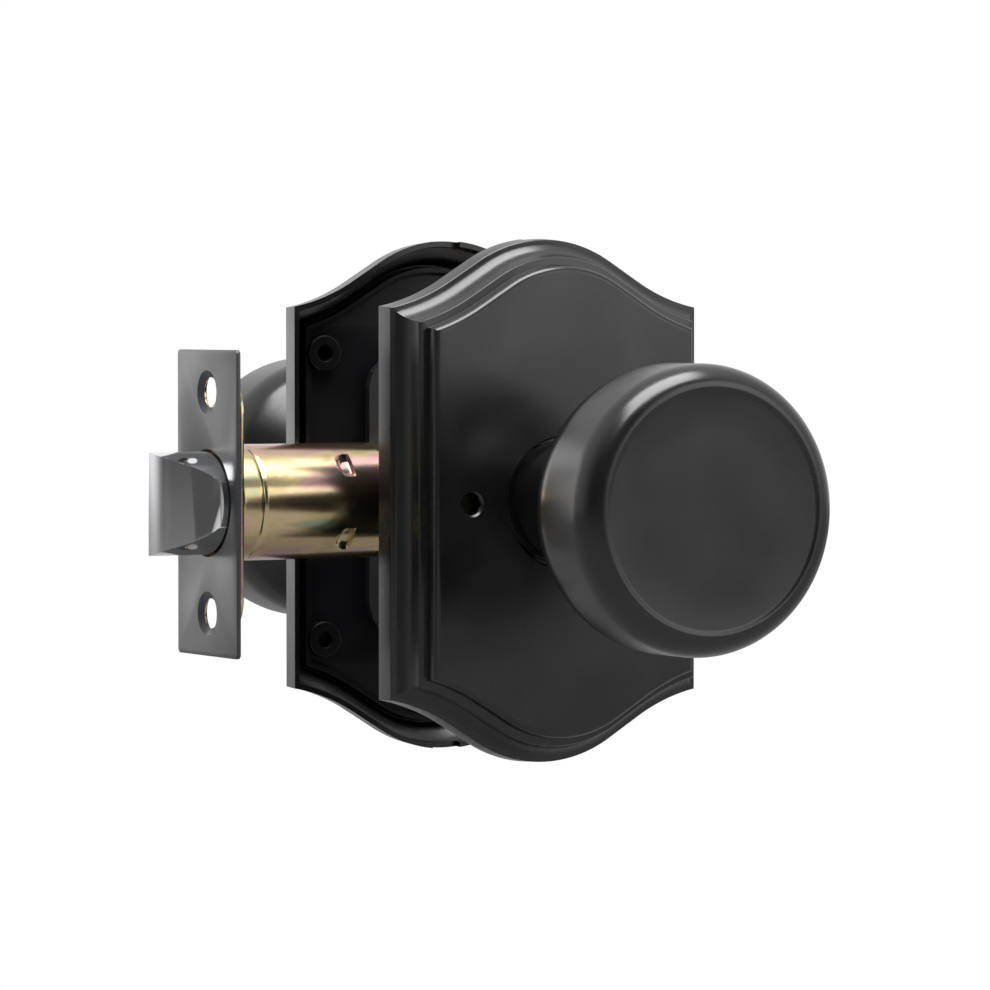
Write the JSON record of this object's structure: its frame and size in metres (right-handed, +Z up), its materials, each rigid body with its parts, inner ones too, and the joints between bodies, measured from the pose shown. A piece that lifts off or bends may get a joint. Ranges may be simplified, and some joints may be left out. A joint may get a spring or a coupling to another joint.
{
  "type": "door knob",
  "caption": "Privacy door knob set: round drum knobs on arched, moulded backplates, joined through the door by a square spindle, with a tubular spring latch.",
  "frame": {"origin": "on the knob axis, in the middle of the door's thickness", "axes": "+Z up, -Y out of the door's exterior face, -X towards the door's edge and the bolt"},
  "size_m": [0.1057, 0.1676, 0.0988],
  "materials": {
    "matt_black": "satin black",
    "black_plate": "satin black plating",
    "black_plastic": "moulded",
    "chrome": "polished",
    "yellow_zinc": "bright, iridescent yellow passivation",
    "steel": "zinc plated",
    "nylon": "moulded"
  },
  "bodies": {
    "mounting": {"exterior_backplate": "matt_black", "exterior_liner": "black_plastic", "exterior_bridge": "black_plate", "exterior_bush": "nylon", "exterior_return_spring": "steel", "interior_backplate": "matt_black", "interior_liner": "black_plastic", "interior_bridge": "black_plate", "interior_bush": "nylon", "interior_return_spring": "steel", "threaded_post_upper": "steel", "threaded_post_lower": "steel", "mounting_screw_upper": "steel", "mounting_screw_lower": "steel", "latch_faceplate": "black_plate", "latch_backing_plate": "yellow_zinc", "latch_tube": "yellow_zinc", "latch_case_exterior_half": "yellow_zinc", "latch_case_interior_half": "yellow_zinc", "bolt_spring_seat": "steel", "bolt_spring": "steel"},
    "exterior_knob": {"exterior_knob": "matt_black", "exterior_knob_hub": "steel", "exterior_retaining_ring": "steel", "spindle": "steel", "spindle_cross_pin": "steel"},
    "interior_knob": {"interior_knob": "matt_black", "interior_knob_hub": "steel", "interior_retaining_ring": "steel", "knob_grub_screw": "steel"},
    "cam": {"latch_cam": "steel"},
    "bolt": {"latch_bolt": "chrome", "bolt_retractor": "yellow_zinc"},
    "privacy_pin": {"privacy_button": "matt_black", "privacy_rod": "black_plate"}
  },
  "joints": [
    {"name": "exterior_knob_turn", "type": "hinge", "parent": "mounting", "child": "exterior_knob", "pos_m": [0, 0, 0], "axis": [0, 1, 0], "range_deg": [0, 80], "stiffness_Nm_per_rad": 0.25, "springref_deg": -17.19},
    {"name": "interior_knob_turn", "type": "hinge", "parent": "mounting", "child": "interior_knob", "pos_m": [0, 0, 0], "axis": [0, 1, 0], "range_deg": [0, 80]},
    {"name": "cam_turn", "type": "hinge", "parent": "mounting", "child": "cam", "pos_m": [0, 0, 0], "axis": [0, 1, 0], "range_deg": [0, 80]},
    {"name": "bolt_slide", "type": "slide", "parent": "mounting", "child": "bolt", "axis": [1, 0, 0], "range_m": [0, 0.0127], "stiffness_N_per_m": 150, "springref_m": -0.004, "deforming": ["bolt_spring"]},
    {"name": "privacy_slide", "type": "slide", "parent": "mounting", "child": "privacy_pin", "axis": [0, -1, 0], "range_m": [0, 0.004]}
  ],
  "couplings": [
    {"joint": "interior_knob_turn", "follows": "exterior_knob_turn", "ratio": 1},
    {"joint": "cam_turn", "follows": "exterior_knob_turn", "ratio": 1},
    {"joint": "bolt_slide", "follows": "exterior_knob_turn", "m_per_rad": 0.009095}
  ]
}
